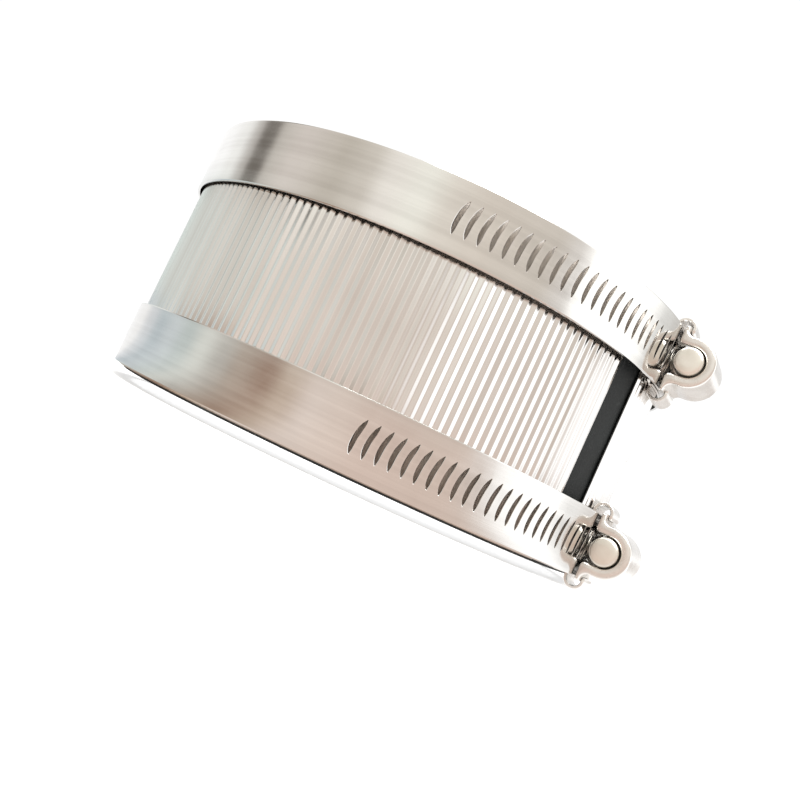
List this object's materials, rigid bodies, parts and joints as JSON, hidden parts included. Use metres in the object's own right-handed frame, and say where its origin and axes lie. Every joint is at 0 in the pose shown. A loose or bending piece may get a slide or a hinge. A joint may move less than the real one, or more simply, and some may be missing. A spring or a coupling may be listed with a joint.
{
  "type": "pipe coupling",
  "caption": "Shielded no-hub pipe coupling: rubber sleeve with a centre stop in a split corrugated steel shield, drawn together by worm-drive band clamps.",
  "frame": {"origin": "on the bore's axis at the lower end of the rubber sleeve", "axes": "+Z along the bore, towards the upper socket; +X from the axis to the screw housings"},
  "size_m": [0.1336, 0.1232, 0.063],
  "materials": {
    "rubber": "moulded rubber, dull",
    "shield_steel": "corrugated stainless sheet, bright",
    "band_steel": "rolled stainless strip, satin",
    "housing_steel": "stamped stainless plate, satin",
    "screw_steel": "bright nickel-like plating, soft gloss"
  },
  "bodies": {
    "sleeve": {"sleeve": "rubber"},
    "shield_assembly": {"shield": "shield_steel", "lower_anchor_band": "band_steel", "lower_saddle": "housing_steel", "lower_housing": "housing_steel", "lower_rivet": "screw_steel", "upper_anchor_band": "band_steel", "upper_saddle": "housing_steel", "upper_housing": "housing_steel", "upper_rivet": "screw_steel"},
    "lower_strap": {"lower_slotted_band": "band_steel"},
    "lower_worm": {"lower_screw": "screw_steel"},
    "upper_strap": {"upper_slotted_band": "band_steel"},
    "upper_worm": {"upper_screw": "screw_steel"}
  },
  "joints": [
    {"name": "shield_slide", "type": "slide", "parent": "sleeve", "child": "shield_assembly", "axis": [0, 0, 1], "range_m": [0, 0.06]},
    {"name": "lower_screw_turn", "type": "hinge", "parent": "shield_assembly", "child": "lower_worm", "pos_m": [0.06655, 0, 0.0078], "axis": [0, -1, 0], "range_deg": [-1080, 180]},
    {"name": "lower_strap_swing", "type": "hinge", "parent": "shield_assembly", "child": "lower_strap", "pos_m": [-0.06067, 0, 0.0078], "axis": [0, 0, 1], "range_deg": [-3.6, 0.65]},
    {"name": "upper_screw_turn", "type": "hinge", "parent": "shield_assembly", "child": "upper_worm", "pos_m": [0.06655, 0, 0.0512], "axis": [0, -1, 0], "range_deg": [-1080, 180]},
    {"name": "upper_strap_swing", "type": "hinge", "parent": "shield_assembly", "child": "upper_strap", "pos_m": [-0.06067, 0, 0.0512], "axis": [0, 0, 1], "range_deg": [-3.6, 0.65]}
  ],
  "couplings": [
    {"joint": "lower_strap_swing", "follows": "lower_screw_turn", "ratio": 0.0032967},
    {"joint": "upper_strap_swing", "follows": "upper_screw_turn", "ratio": 0.0032967}
  ]
}
